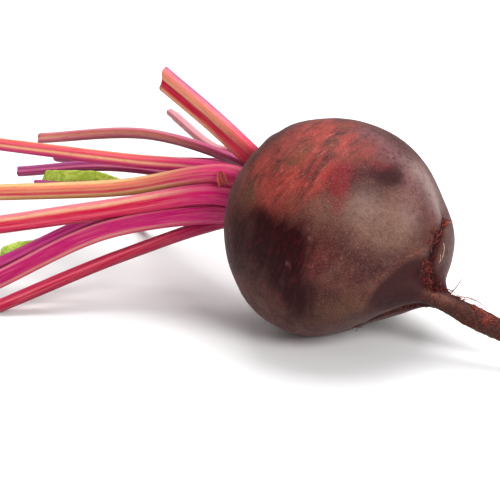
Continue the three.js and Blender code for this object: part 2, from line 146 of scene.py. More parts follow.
# Leaf stalks. seat is [upwards, sideways] from the root's axis; via and end are measured from
# under the globe's middle. bands are the colours from the stalk's upper edge, 1, to its lower
# edge, -1; foot is the colour that they run into at the crown.
# the darker colours towards the stalks' lower edges are painted shading on their undersides; the other
# bands are the stalks' own stripes
stalks = [
    {"seat": (4.9, -3.6), "via": (-54, 0, 67.2), "end": (-77, 3, 77.8), "width": 7.9,
     "taper": 0.06, "twist": 120, "slant": 0.5, "foot": "cf3350",
     "bands": [(1, "a4588c"), (0.86, "cf6c80"), (0.6, "e68872"), (0.3, "f0a084"), (0.12, "f4bc96"),
               (0, "b8203e"), (-0.45, "b01838"), (-0.55, "dc745c"), (-0.75, "f2c09c"), (-1, "d85c58")]},
    {"seat": (-2, 3), "via": (-91, 13, 52), "end": (-154, 23, 37), "width": 5.2, "slant": -1.1,
     "foot": "b0347a",
     "bands": [(1, "d494a8"), (0.6, "e07c84"), (0.15, "ec9480"), (0, "f0bc94"), (-0.25, "dc6878"),
               (-0.6, "a04454"), (-1, "703440")]},
    {"seat": (0.6, 5.4), "via": (-65, 18, 49.4), "end": (-97, 35, 53), "width": 5.6, "slant": 0.7,
     "foot": "b84a6a",
     "bands": [(1, "d0a0a8"), (0.3, "d48c94"), (0, "dcb0a0"), (-0.5, "b8707c"), (-1, "8c5058")]},
    {"seat": (-1.5, -3.4), "via": (-85, -10, 49.6), "end": (-139, -22, 49.6), "width": 5.4,
     "foot": "c01c78",
     "bands": [(1, "dc9070"), (0.7, "d85c64"), (0.2, "dc5468"), (0.02, "ec9c80"), (-0.1, "f2cc9c"),
               (-0.3, "e88478"), (-0.55, "cc3c74"), (-1, "b02c68")]},
    {"seat": (-8.3, 2.4), "via": (-96, -1, 42.8), "end": (-142, -4, 33), "width": 4.8,
     "foot": "a8246c",
     "bands": [(1, "b868a0"), (0.4, "a84488"), (0, "c86c90"), (-0.3, "a03874"), (-1, "7c2c54")]},
    {"seat": (-8, -3.6), "via": (-88, -10, 38.5), "end": (-125, -14, 33.4), "width": 4.8,
     "twist": -120, "foot": "a02464",
     "bands": [(1, "a84c88"), (0.2, "944074"), (0, "b4687c"), (-1, "6c2c4c")]},
    {"seat": (-3.6, 9.6), "via": (-103, 8, 40.3), "end": (-138, 13, 35.4), "width": 5.4,
     "foot": "a82468",
     "bands": [(1, "c46c94"), (0.3, "b03c7c"), (0, "d08090"), (-0.4, "a03068"), (-1, "7c2c50")]},
    {"seat": (1.6, -9.6), "via": (-82, -18, 42), "end": (-128, -36, 36.4), "width": 6.6,
     "foot": "c81c6c",
     "bands": [(1, "dcb078"), (0.75, "f0cf98"), (0.55, "e09068"), (0.15, "d87468"), (-0.05, "e8a078"),
               (-0.2, "c03c54"), (-0.4, "c84c54"), (-0.55, "dcc08c"), (-0.8, "c89858"), (-1, "8c5c38")]},
    {"seat": (-4.6, -11), "via": (-78, -23, 36.8), "end": (-121, -43, 27.2), "width": 7.4,
     "foot": "c4186c",
     "bands": [(1, "dc8c98"), (0.75, "e07c88"), (0.5, "f4c4a0"), (0.3, "ec9480"), (0.2, "cc2848"),
               (-0.2, "c41c48"), (-0.4, "e8687c"), (-0.5, "cc2c54"), (-1, "a01c40")]},
    {"seat": (-14.6, 3.6), "via": (-86, -10, 30), "end": (-124, -41, 10), "width": 6.2,
     "foot": "a8146c",
     "bands": [(1, "c04490"), (0.3, "ac2478"), (0, "c85090"), (-0.4, "98205c"), (-1, "741c48")]},
    {"seat": (-11.4, -9.4), "via": (-84, -26, 27.6), "end": (-119, -47, 7), "width": 7.8,
     "foot": "bc1468",
     "bands": [(1, "e08c9c"), (0.72, "e87c94"), (0.6, "c41c74"), (-0.2, "b81868"), (-0.55, "c02870"),
               (-0.68, "eca49c"), (-0.85, "d86878"), (-1, "902048")]},
    {"seat": (-15.2, -3.6), "via": (-76, -26, 20), "end": (-110, -56, 2.5), "width": 6.8,
     "foot": "a81458",
     "bands": [(1, "c83c64"), (0.5, "b42048"), (0.2, "d46474"), (0.05, "a81c40"), (-0.5, "981c3c"),
               (-1, "701830")]},
    {"seat": (-10.4, 9), "via": (-86, 28, 27), "end": (-118, 40, 2.5), "width": 6.4,
     "foot": "b01c64",
     "bands": [(1, "d87c84"), (0.4, "c03c60"), (0.1, "ecb490"), (-0.1, "d06c70"), (-0.5, "b42450"),
               (-1, "7c2040")]},
]

stalkForm = {
    "crownMiddle": (-5, 0),
    "crownDepth": 35,
    "flare": 0.3,
    "thickness": 0.78,
    "claspWidening": 0.15,
    "claspThinning": 0.3,
    "claspLength": 0.2,
    "channelDepth": 0.42,
    "channelWidth": 0.62,
    "ribs": 8,
    "ribHeight": 0.06,
    "sides": 48,
    "steps": 96,
    "cutInsets": (0.96, 0.8, 0.5),  # the rings on a cut end
    "bandsUp": (0, 0.3, 0.95),  # where the stalks' upper edges face
    "footColour": 0.88,
    "footFade": (0.1, 0.48),  # shares of the length
    "brightness": 0.8,
    "richness": 1.1,
    "flesh": "e8a8a0",
    "heart": "d84c70",
}

stalkLook = {"pale": "f0b494", "flush": "bc2050", "speck": "8c1838", "net": "8a2a28"}

# Strips of leaf blade left on a stalk's edge: which stalk and side, where they start and stop as
# shares of the stalk, and their width
bladeStrips = [
    {"stalk": 6, "side": 1, "start": 0.5, "stop": 0.98, "width": 5.4},
    {"stalk": 10, "side": 1, "start": 0.82, "stop": 0.98, "width": 5},
]
bladeForm = {"thickness": 0.9, "wave": 0.7, "crinkle": 0.35, "slant": 0.45, "sides": 40, "steps": 110}
bladeLook = {"blade": "93b22c", "bright": "c3d95c", "dark": "4c6a12", "vein": "b9c866"}

# A dried leaf base at the crown: its foot and tip, how wide and how hollow it is
bract = {
    "foot": (-38.6, -15.6, 50.2),
    "tip": (-40.6, -14.8, 55.2),
    "facing": (0.35, -0.88, 0.3),
    "width": 4.6,
    "thickness": 0.3,
    "hollow": 0.9,
    "bow": 0.7,
    "curl": 1.3,  # how far the tip bends back
    "steps": 24,
    "sides": 20,
    "rim": "c45c3c",
    "inside": "86282e",
}

side = np.array([0, 1, 0])
middle = np.array(root["middle"])
underMiddle = middle * (1, 1, 0)


def linear(hexColour):
    parts = [int(hexColour[i:i + 2], 16) / 255 for i in (0, 2, 4)]
    return tuple(((c + 0.055) / 1.055) ** 2.4 if c > 0.04 else c / 12.92 for c in parts) + (1,)


def smooth(value, low, high):
    share = np.clip((value - low) / (high - low), 0, 1)
    return share * share * (3 - 2 * share)


def wrapped(turn):
    return np.arctan2(np.sin(turn), np.cos(turn))


def bell(value, width):
    return np.exp(-((value / width) ** 2))


def bellAt(value, place, width):
    return bell(value - place, width)


def unit(vectors):
    return vectors / np.linalg.norm(vectors, axis=-1, keepdims=True)


# A smooth span between two points, with a speed at each
def smoothSpan(start, stop, leave, arrive, share):
    bend = 3 * (stop - start) - 2 * leave - arrive
    return start + leave * share + bend * share ** 2 + (2 * (start - stop) + leave + arrive) * share ** 3


# A smooth curve through points, walked in small steps
def curveThrough(points, stepsPerSpan=80):
    points = np.array(points, float)
    knots = [2 * points[0] - points[1], *points, 2 * points[-1] - points[-2]]
    share = np.linspace(0, 1, stepsPerSpan, endpoint=False)[:, None]
    spans = []
    for a, b, c, d in zip(knots, knots[1:], knots[2:], knots[3:]):
        ab, bc, cd = (np.linalg.norm(q - p) ** 0.5 for p, q in ((a, b), (b, c), (c, d)))
        leave = ((b - a) / ab - (c - a) / (ab + bc) + (c - b) / bc) * bc
        arrive = ((c - b) / bc - (d - b) / (bc + cd) + (d - c) / cd) * bc
        spans.append(smoothSpan(b, c, leave, arrive, share))
    line = np.vstack(spans + [points[-1:]])
    walked = np.concatenate([[0], np.cumsum(np.linalg.norm(np.diff(line, axis=0), axis=1))])
    return {"line": line, "walked": walked, "tangent": unit(np.gradient(line, walked, axis=0))}


# Points and directions on a curve at distances from its start, straight on beyond its ends
def onCurve(curve, distance):
    inside = np.clip(distance, 0, curve["walked"][-1])
    point, tangent = (
        np.stack([np.interp(inside, curve["walked"], curve[key][:, i]) for i in range(3)], -1)
        for key in ("line", "tangent")
    )
    tangent = unit(tangent)
    return point + tangent * (distance - inside)[..., None], tangent


# A smooth line through the outline's points, evenly spaced in each span
def outlineThrough(points, stepsPerSpan):
    points = np.array(points, float)
    knots = [points[0], *points, points[-1]]
    share = np.linspace(0, 1, stepsPerSpan, endpoint=False)[:, None]
    fours = zip(knots, knots[1:], knots[2:], knots[3:])
    spans = [smoothSpan(b, c, (c - a) / 2, (d - b) / 2, share) for a, b, c, d in fours]
    return np.vstack(spans + [points[-1:]])


centreline = curveThrough(np.array(root["centreline"]) + middle)
centrelineStart = np.linalg.norm(np.array(root["centreline"][0]))
outline = outlineThrough(root["outline"], root["ringsPerSpan"]) * root["radius"]


# The centreline's point and directions at a distance along the axis
def rootFrame(along):
    point, tangent = onCurve(centreline, along + centrelineStart)
    up = unit(np.cross(tangent, side))
    return point, tangent, up, np.cross(up, tangent)


def towards(fromCrown, turn):
    polar, turn = math.radians(fromCrown), math.radians(turn)
    return np.array([math.cos(polar), math.sin(polar) * math.cos(turn), math.sin(polar) * math.sin(turn)])


# How near a place on the root is to a direction from the globe's middle, from 0 to 1
def nearness(along, turn, radius, fromCrown, markTurn, spread):
    places = unit(np.stack([-along, radius * np.cos(turn), radius * np.sin(turn)], -1))
    angle = np.arccos(np.clip(places @ towards(fromCrown, markTurn), -1, 1))
    return bell(angle, math.radians(spread))


def bulgeHeight(along, turn, radius):
    height = 0
    for fromCrown, bulgeTurn, rise in root["bulges"]:
        height = height + rise * nearness(along, turn, radius, fromCrown, bulgeTurn, root["bulgeSpread"])
    return height * (1 - smooth(along / root["radius"], *root["bulgesFade"]))


# Which way a furrow faces: its turn drifts beside the taproot, and again along it
def furrowTurn(line, along):
    onGlobe, besideTaproot, onTaproot = line
    share = along / root["radius"]
    first, second = root["furrowTurns"]
    turn = onGlobe + (besideTaproot - onGlobe) * smooth(share, *first)
    return np.radians(turn + (onTaproot - turn) * smooth(share, *second))


def furrowDepth(along, turn, radius):
    share = along / root["radius"]
    lowerHalf = smooth(share, *root["furrowStarts"]) * (1 - smooth(share, *root["furrowStops"]))
    besideTaproot = bellAt(share, *root["cleft"])
    furrow = 0
    for line in root["furrows"]:
        away = wrapped(turn - furrowTurn(line, along)) * radius
        furrow = furrow + root["furrowDepth"] * lowerHalf * bell(away, root["furrowWidth"])
        furrow = furrow + root["cleftDepth"] * besideTaproot * bell(away, root["cleftWidth"])
    waves = np.cos(root["scarWaves"] * turn + root["scarDrift"] * share)
    scars = root["scarHeight"] * bellAt(share, *root["scars"]) * waves
    return np.minimum(0.5 * radius, furrow - scars)


# How far a place lies past the crease towards the taproot, and how near its stretch of turns
def creasePlace(along, turn):
    turns, shares = zip(*root["crease"])
    degrees = np.degrees(wrapped(turn))
    past = along - root["radius"] * np.interp(degrees, turns, shares)
    near = smooth(degrees, turns[0] - 15, turns[0] + 10)
    return past, near * (1 - smooth(degrees, turns[-1] - 8, turns[-1] + 12))


# The relief that is too fine for the outline: clefts beside the taproot, crease and wrinkles
def fineRelief(along, turn, radius):
    place = np.stack([along, radius * np.cos(turn), radius * np.sin(turn)], -1)
    share = along / root["radius"]
    tail = smooth(share, 1, 1.35)
    broad, small = root["lumpSizes"]
    relief = root["lumps"] * (1 - tail) * (0.75 * grain(place / broad) + 0.25 * grain(place / small, 1))
    relief = relief + root["pimples"] * grain(place / root["pimpleSize"], 2)
    rings = grain(place * (0.9, 0.12, 0.12), 3) + 0.6 * grain(place * (2.1, 0.3, 0.3), 4)
    relief = relief + root["wrinkles"] * rings * (0.15 + 0.85 * tail) * np.minimum(1, radius / 3)
    for line in root["furrows"]:
        wander = 0.9 * grain(place / 5, 5)
        away = wrapped(turn - furrowTurn(line, along)) * radius + wander
        broken = smooth(grain(place / 3.5, 6), -0.5, 0.3)
        slit = bell(away, root["slitWidth"]) * bellAt(share, *root["slit"])
        relief = relief - root["slitDepth"] * slit * broken
    past, near = creasePlace(along, turn)
    relief = relief - near * root["creaseDip"] * smooth(past, -0.6, 1.2) * (1 - smooth(past, 2, 9))
    return relief + near * 0.12 * bell(past + 0.8, 0.6) + root["ribHeight"] * ribPlace(along, turn, radius)


# How near a place is to the rib on the taproot, from 0 to 1
def ribPlace(along, turn, radius):
    shares, turns = zip(*root["rib"])
    share = along / root["radius"]
    away = wrapped(turn - np.radians(np.interp(share, shares, turns))) * radius
    starts = smooth(share, shares[0] - 0.03, shares[0] + 0.06)
    return bell(away, root["ribWidth"]) * (starts * (1 - smooth(share, shares[-1] - 0.2, shares[-1])))


# Points on the skin, with the bulges, the furrows and any finer relief
def skinPoint(along, turn, radius, relief=0):
    raised = 1 + bulgeHeight(along, turn, radius) / np.maximum(np.hypot(along, radius), 1e-6)
    point, _, up, across = rootFrame(along * raised)
    reach = (radius * raised - furrowDepth(along, turn, radius) + relief)[..., None]
    return point + reach * (up * np.cos(turn)[..., None] + across * np.sin(turn)[..., None])


def outlineRadius(along):
    return np.interp(along, outline[:, 0], outline[:, 1])


# Smooth noise, about -1 to 1, at points that are counted in grains
def grain(points, seed=0):
    shift = Vector((seed * 7.3, seed * 3.1, seed * 5.7))
    flat = points.reshape(-1, 3)
    return np.array([noise.noise(Vector(p) + shift) for p in flat]).reshape(points.shape[:-1])


# A closed skin over rings of points, with a point at each end
def ringMesh(rings, first, last):
    count, sides = rings.shape[:2]
    points = np.vstack([rings.reshape(-1, 3), [first], [last]])
    faces = []
    for i in range(count - 1):
        for j in range(sides):
            k = (j + 1) % sides
            faces.append((i * sides + j, i * sides + k, (i + 1) * sides + k, (i + 1) * sides + j))
    top, bottom, lastRing = count * sides, count * sides + 1, (count - 1) * sides
    for j in range(sides):
        k = (j + 1) % sides
        faces.append((top, k, j))
        faces.append((bottom, lastRing + j, lastRing + k))
    return points, faces


# Shares of the length and angles round it, for every point of a tube
def tubeGrid(shares, sides):
    around = np.linspace(0, 2 * math.pi, sides, endpoint=False)
    return np.broadcast_arrays(shares[:, None], around[None])


def tubeRings(point, up, across, upwards, sideways):
    return point + up * upwards[..., None] + across * sideways[..., None]


def tubeMesh(rings):
    return ringMesh(rings, rings[0].mean(0), rings[-1].mean(0))


def addObject(name, data):
    thing = bpy.data.objects.new(name, data)
    bpy.context.collection.objects.link(thing)
    return thing


# One visible piece, with a value for each point under each name
def makePiece(name, points, faces, material, replaced, values):
    mesh = bpy.data.meshes.new(name)
    mesh.from_pydata((points * mm).tolist(), [], faces)
    mesh.validate()
    for key, numbers in values.items():
        numbers = np.asarray(numbers, float)
        kind, field = ("FLOAT_VECTOR", "vector") if numbers.ndim == 2 else ("FLOAT", "value")
        mesh.attributes.new(key, kind, "POINT").data.foreach_set(field, numbers.ravel())
    mesh.polygons.foreach_set("use_smooth", [True] * len(mesh.polygons))
    mesh.materials.append(material)
    piece = addObject(name, mesh)
    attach(piece, "root")
    if replaced:
        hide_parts(replaced)


# Links or sets a shader node's inputs
def setInputs(tree, node, values):
    for key, value in values.items():
        if isinstance(value, bpy.types.NodeSocket):
            tree.links.new(value, node.inputs[key])
        else:
            node.inputs[key].default_value = value


# Shader helpers: each returns the new node's output
def addNode(tree, kind, inputs=None, output=0, **settings):
    made = tree.nodes.new(kind)
    for key, value in settings.items():
        setattr(made, key, value)
    setInputs(tree, made, inputs or {})
    return made.outputs[output]


# Colours of a look in layers: each paint(key, share) adds one over the last
def painter(tree, look, first):
    layers = [first]

    def paint(key, share):
        inputs = {0: share, 6: layers[-1], 7: linear(look[key])}
        layers.append(addNode(tree, "ShaderNodeMix", inputs, 2, data_type="RGBA"))

    return paint, layers


def maths(tree, operation, a, b=0):
    return addNode(tree, "ShaderNodeMath", {0: a, 1: b}, operation=operation)


def times(tree, a, b):
    return maths(tree, "MULTIPLY", a, b)


def between(tree, value, low, high, outLow=0, outHigh=1):
    settings = {"Value": value, "From Min": low, "From Max": high, "To Min": outLow, "To Max": outHigh}
    return addNode(tree, "ShaderNodeMapRange", settings, interpolation_type="SMOOTHSTEP")


def attribute(tree, name, output="Fac"):
    return addNode(tree, "ShaderNodeAttribute", output=output, attribute_name=name)


def stretched(tree, vector, scale):
    return addNode(tree, "ShaderNodeMapping", {"Vector": vector, "Scale": scale})


# Noise at one scale, or one per direction
def noiseOf(tree, vector, scale, detail=3, roughness=0.55, distortion=0):
    if isinstance(scale, tuple):
        vector, scale = stretched(tree, vector, scale), 1
    settings = {"Vector": vector, "Scale": scale, "Detail": detail, "Roughness": roughness,
                "Distortion": distortion}
    return addNode(tree, "ShaderNodeTexNoise", settings)


def cellsOf(tree, vector, scale):
    inputs = {"Vector": stretched(tree, vector, scale), "Scale": 1}
    return addNode(tree, "ShaderNodeTexVoronoi", inputs, feature="DISTANCE_TO_EDGE")


def bumpOf(tree, height, strength, distance):
    return addNode(tree, "ShaderNodeBump", {"Strength": strength, "Distance": distance, "Height": height})


def newMaterial(name):
    material = bpy.data.materials.new(name)
    material.use_nodes = True
    tree = material.node_tree
    return material, tree, tree.nodes["Principled BSDF"]


def makeSkinMaterial():
    material, tree, shader = newMaterial("beetrootSkin")
    place = attribute(tree, "rootPlace", "Vector")
    broad = noiseOf(tree, place, 0.06, 4)
    cloud = noiseOf(tree, place, 0.16, 6, 0.62)
    mottle = noiseOf(tree, place, 0.55, 4, 0.7)
    sweep = noiseOf(tree, place, (0.28, 0.06, 0.06), 4, 0.6, 0.8)
    streak = noiseOf(tree, place, (1.1, 0.25, 0.25), 4, 0.62, 0.5)
    pores = noiseOf(tree, place, 1.7, 4, 0.75)
    grit = noiseOf(tree, place, 3.2, 2, 0.7)
    paint, layers = painter(tree, skinLook, linear(skinLook["baseDark"]))

    def mark(key, pattern, low, high, most):
        reach = times(tree, attribute(tree, key), between(tree, pattern, low, high))
        paint(key, times(tree, reach, most))

    # a mark whose edge is ragged by the pattern
    def ragged(key, pattern, most):
        pushed = times(tree, maths(tree, "SUBTRACT", pattern, 0.5), 1.1)
        reach = between(tree, maths(tree, "ADD", attribute(tree, key), pushed), 0.05, 1.05, 0, most)
        paint(key, times(tree, reach, between(tree, attribute(tree, key), 0, 0.35)))

    paint("base", between(tree, broad, 0.35, 0.65))
    # grey-beige bloom: the broad clouds are the skin's own, the marks are partly a painted highlight
    paint("bloomAndHighlight", between(tree, cloud, 0.45, 0.8, 0, 0.35))
    mark("bloomAndHighlight", mottle, 0, 0.7, 0.85)
    # painted highlight in greyish mauve
    mark("mauveHighlight", mottle, 0.25, 0.65, 0.8)
    mark("scuff", sweep, 0.32, 0.6, 0.75)
    mark("scuff", cloud, 0.42, 0.6, 0.4)
    dents = times(tree, attribute(tree, "scuff"), between(tree, mottle, 0.36, 0.52, 0.55, 0))
    paint("scuffDark", dents)
    ragged("crimson", cloud, 0.85)
    mark("olive", mottle, 0.25, 0.6, 0.75)
    # painted highlight in pale grey on the neck
    mark("paintedNeckHighlight", mottle, 0.25, 0.65, 0.6)
    flecks = times(tree, attribute(tree, "scuff"), between(tree, streak, 0.55, 0.72))
    paint("scuffFleck", times(tree, flecks, 0.42))
    mark("tail", cloud, 0, 0.3, 0.9)
    rust = times(tree, attribute(tree, "tail"), between(tree, mottle, 0.52, 0.66))
    paint("rust", times(tree, rust, 0.28))
    # the rib on the taproot is painted paler brown, partly its own colour and partly a painted highlight
    # along it
    mark("rib", mottle, 0.1, 0.5, 0.55)
    fromLine = maths(tree, "ABSOLUTE", maths(tree, "ADD", attribute(tree, "creasePast"), 0.5))
    line = times(tree, attribute(tree, "creaseNear"), between(tree, fromLine, 0.05, 0.5, 1, 0))
    line = times(tree, line, between(tree, mottle, 0.42, 0.62, 0, 0.55))
    paint("crease", line)
    paint("baseDark", between(tree, pores, 0.3, 0.5, 0.3, 0))
    paint("baseDark", between(tree, grit, 0.36, 0.5, 0.35, 0))
    paint("fleck", between(tree, grit, 0.54, 0.7, 0, 0.38))
    paint("fleck", between(tree, pores, 0.62, 0.76, 0, 0.5))
    # painted rim light in pale grey-pink
    mark("paintedRimLight", mottle, 0.1, 0.6, 0.6)
    # dark purple-red, partly the skin's own spots and partly painted shading beside the taproot
    ragged("plumAndShade", sweep, 0.85)
    # painted shadow and dark reflection in near-black maroon, with a ragged edge
    ragged("paintedShade", sweep, 0.97)
    # red streaks inside the painted shadow
    redInShade = times(tree, attribute(tree, "paintedShade"), between(tree, streak, 0.52, 0.7, 0, 0.3))
    paint("crimson", redInShade)
    mark("nick", pores, 0.4, 0.6, 0.6)
    shiny, dull = skinLook["roughness"]
    relief = maths(tree, "ADD", pores, times(tree, streak, 0.8))
    setInputs(tree, shader, {
        "Base Color": layers[-1],
        "Roughness": between(tree, mottle, 0.3, 0.7, shiny, dull),
        "Specular IOR Level": skinLook["shine"],
        "Sheen Weight": skinLook["paintedRimLightiness"],
        "Sheen Roughness": 0.35,
        "Normal": bumpOf(tree, relief, skinLook["bump"], 0.0003),
    })
    return material


def makeRoot():
    profile = outline[1:-1]
    along = np.repeat(profile[:, :1], root["sides"], 1)
    radius = np.repeat(profile[:, 1:], root["sides"], 1)
    turn = np.repeat(np.linspace(0, -2 * math.pi, root["sides"], endpoint=False)[None], len(profile), 0)
    place = np.stack([along, radius * np.cos(turn), radius * np.sin(turn)], -1)
    rings = skinPoint(along, turn, radius, fineRelief(along, turn, radius))
    crown, tip = skinPoint(outline[[0, -1], 0], np.zeros(2), np.zeros(2))
    points, faces = ringMesh(rings, crown, tip)
    points[:, 2] = np.maximum(points[:, 2], 0)  # the flat spot, and the taproot's tip
    place = np.vstack([place.reshape(-1, 3), [[outline[0, 0], 0, 0], [outline[-1, 0], 0, 0]]])
    along, upwards, sideways = place.T
    turn, radius = np.arctan2(sideways, upwards), np.hypot(upwards, sideways)
    share = along / root["radius"]
    values = {"rootPlace": place}
    for key, marks in skinMarks.items():
        strength = sum(mark[3] * nearness(along, turn, radius, *mark[:3]) for mark in marks)
        values[key] = np.clip(strength, 0, 1) * (1 - smooth(share, *root["taprootSkin"]))
    values["tail"] = smooth(share, 0.98, 1.3)
    values["rib"] = ribPlace(along, turn, radius)
    past, near = creasePlace(along, turn)
    values["creasePast"], values["creaseNear"] = past, near
    # painted shading: the furrows, and the hollow past the crease round the taproot, are darkened with the
    # dark purple-red and near-black maroon colours
    away = [wrapped(turn - furrowTurn(line, along)) * radius for line in root["furrows"]]
    furrow = sum(bell(distance, root["furrowShade"]) for distance in away)
    furrow = furrow * smooth(share, 0.5, 0.8) * (1 - smooth(share, 1, 1.2))
    hollowShade = 0.75 * near * smooth(past, -0.3, 1.5) * (1 - smooth(share, 0.93, 1.05))
    values["plumAndShade"] = np.clip(values["plumAndShade"] + 0.9 * furrow + hollowShade, 0, 1)
    values["paintedShade"] = np.clip(values["paintedShade"] + 1.1 * furrow * smooth(share, 0.7, 0.76), 0, 1)
    makePiece("beetroot_root", points, faces, makeSkinMaterial(), "root", values)


makeRoot()
print("root made")

# Side roots, in groups: along which furrow, how far beside it in mm, from where to where along it in
# shares of the radius, their spread, clumps, number, lengths and thickness, their lean towards the
# tip and how light they are. Those whose lean is None lie on the skin.
sideRootKeys = ("furrow", "aside", "along", "spread", "clumps", "count", "length", "thickness",
                "lean", "tone")
sideRoots = {
    "firstTuft": (0, 0, (0.725, 0.785), 0.9, 4, 60, (1.4, 3.6), 0.15, 0, (0, 0.7)),
    "secondTuft": (0, -2.3, (0.79, 0.832), 2.1, 7, 120, (1.6, 4.4), 0.135, 0, (0, 0.75)),
    "thirdTuft": (0, -1.5, (0.88, 0.97), 0.9, 8, 210, (1.2, 3.6), 0.14, 0, (0, 0.8)),
    "strayTufts": (0, 0, (0.72, 1.05), 2, 10, 28, (0.8, 2.4), 0.12, 0.2, (0, 0.6)),
    "neckTop": (0, 0, (1.01, 1.26), 1.5, 7, 110, (1, 3.2), 0.14, 0.4, (0.2, 0.85)),
    "shoulderTuft": (0, -1.2, (1.17, 1.25), 0.5, 3, 50, (1, 2.8), 0.17, 0.3, (0.1, 0.85)),
    "furrowBelow": (1, 0, (0.6, 1.08), 1.4, 13, 170, (1.2, 3.4), 0.2, 0.2, (0, 0.5)),
    "taprootTop": (0, 0, (1.3, 2.9), 1.6, 12, 70, (1, 3.2), 0.12, 0.8, (0.1, 0.8)),
    "taprootBelow": (1, 0, (1.1, 2.9), 1.6, 12, 55, (0.8, 2.6), 0.12, 0.6, (0, 0.6)),
    "nearRoots": (0, -3.6, (1.36, 1.7), 0.6, 5, 85, (1.5, 3.8), 0.16, None, (0, 0.85)),
    "flatRoots": (0, -2.6, (1.6, 2.9), 1.4, 15, 140, (1.5, 4.5), 0.15, None, (0.1, 0.9)),
    "flatBelow": (1, 2.4, (1.3, 2.9), 1.6, 12, 70, (1.5, 4.5), 0.12, None, (0.1, 0.8)),
    "longHairs": (0, 0, (1, 2.4), 1, 8, 8, (5, 9), 0.05, 0.9, (0.5, 1)),
}
# Single hairs: where they start, as a share of the radius and a turn in degrees, then how far they
# run in mm, forwards on the skin, outwards and round it; their thickness, and how light they are
singleHairs = [
    ((0.865, 8), [(1.8, 0.7, -0.8), (3.6, 0.9, -2.4), (5, 0.7, -4.4)], 0.12, 1.2),
    ((0.9, 0), [(1, 0.6, -0.4), (2, 0.9, -1.6)], 0.09, 1.1),
    ((1.06, 12), [(1.6, 2, 0), (3.4, 3.4, 0)], 0.2, 0.3),
    ((1.15, 2), [(0.5, 3, 0.3), (0.9, 7, 0.2)], 0.24, 0.35),
    ((1.13, 4), [(0.8, 1.6, 0), (1.8, 2.6, 0.4)], 0.17, 0.3),
    ((1.22, 5), [(3.1, 1.5, 0), (6.7, 1.7, 0.2), (12, 0.2, 0.3)], 0.2, 0.65),
    ((1.28, 5), [(2, 1.4, 0.2), (4.4, 1.6, 0.4)], 0.16, 0.6),
    ((0.75, 24), [(0.8, 1, 1.6), (1.4, 1.4, 3.6)], 0.19, 0.6),
    ((0.76, 22), [(1.2, 1.2, 1.4), (2.6, 1.4, 3)], 0.17, 0.8),
]
hairSides = 4
hairSteps = 10
hairTip = 0.4  # the tip's thickness as a share of the foot's
hairSunk = 0.4  # how deep a foot sits in the skin
hairSeed = 7

sideRootLook = {"dark": "34080a", "red": "8a2c1d", "pale": "d8b8a0", "patch": "40120f"}


# The skin at one place: the point, the directions along and round it, and outwards
def skinFrame(along, turn):
    def skin(further, turned):
        places = np.array([along + further]), np.array([turn + turned])
        radius = outlineRadius(places[0])
        return skinPoint(*places, radius, fineRelief(*places, radius))[0]

    lengthwise = unit(skin(0.5, 0) - skin(-0.5, 0))
    sideways = unit(skin(0, 0.04) - skin(0, -0.04))
    return skin(0, 0), lengthwise, sideways, unit(np.cross(lengthwise, sideways))


# A side root that stands out from the skin and curls over
def standingLine(draw, group, along, turn, length):
    foot, lengthwise, sideways, outwards = skinFrame(along, turn)
    heading = outwards + lengthwise * (group["lean"] + draw.gauss(0, 0.7)) + sideways * draw.gauss(0, 0.9)
    heading = unit(heading)
    bend = lengthwise * draw.gauss(0.2, 0.5) + sideways * draw.gauss(0, 0.6)
    bend = bend - outwards * draw.uniform(0.3, 1.2)
    place = foot - outwards * hairSunk
    line = [place]
    for _ in range(hairSteps):
        wobble = np.array([draw.gauss(0, 1) for _ in range(3)])
        heading = unit(heading + (bend + wobble * 1.1) / hairSteps * 2)
        place = place + heading * length / hairSteps
        line.append(place)
    return np.array(line)


# A side root that winds along on the skin
def lyingLine(draw, group, along, turn, length):
    heading, bend = draw.gauss(0, 0.6), draw.gauss(0, 1.2)
    if draw.random() < 0.3:
        heading += math.pi
    places = [(along, turn)]
    for _ in range(hairSteps):
        heading += (bend + draw.gauss(0, 2.2)) / hairSteps
        along += math.cos(heading) * length / hairSteps
        turn += math.sin(heading) * length / hairSteps / max(2, outlineRadius(along))
        places.append((along, turn))
    alongs, turns = np.array(places).T
    radius = outlineRadius(alongs)
    lift = np.array([draw.uniform(0, 0.12) for _ in alongs]) + group["thickness"] * 0.3
    return skinPoint(alongs, turns, radius, fineRelief(alongs, turns, radius) + lift)


def singleLine(start, steps):
    foot, lengthwise, sideways, outwards = skinFrame(start[0] * root["radius"], math.radians(start[1]))
    line = [foot - outwards * 0.3, foot + outwards * 0.2]
    line += [foot + lengthwise * ahead + outwards * out + sideways * aside for ahead, out, aside in steps]
    curve = curveThrough(line)
    return onCurve(curve, np.linspace(0, curve["walked"][-1], 3 * hairSteps))[0]


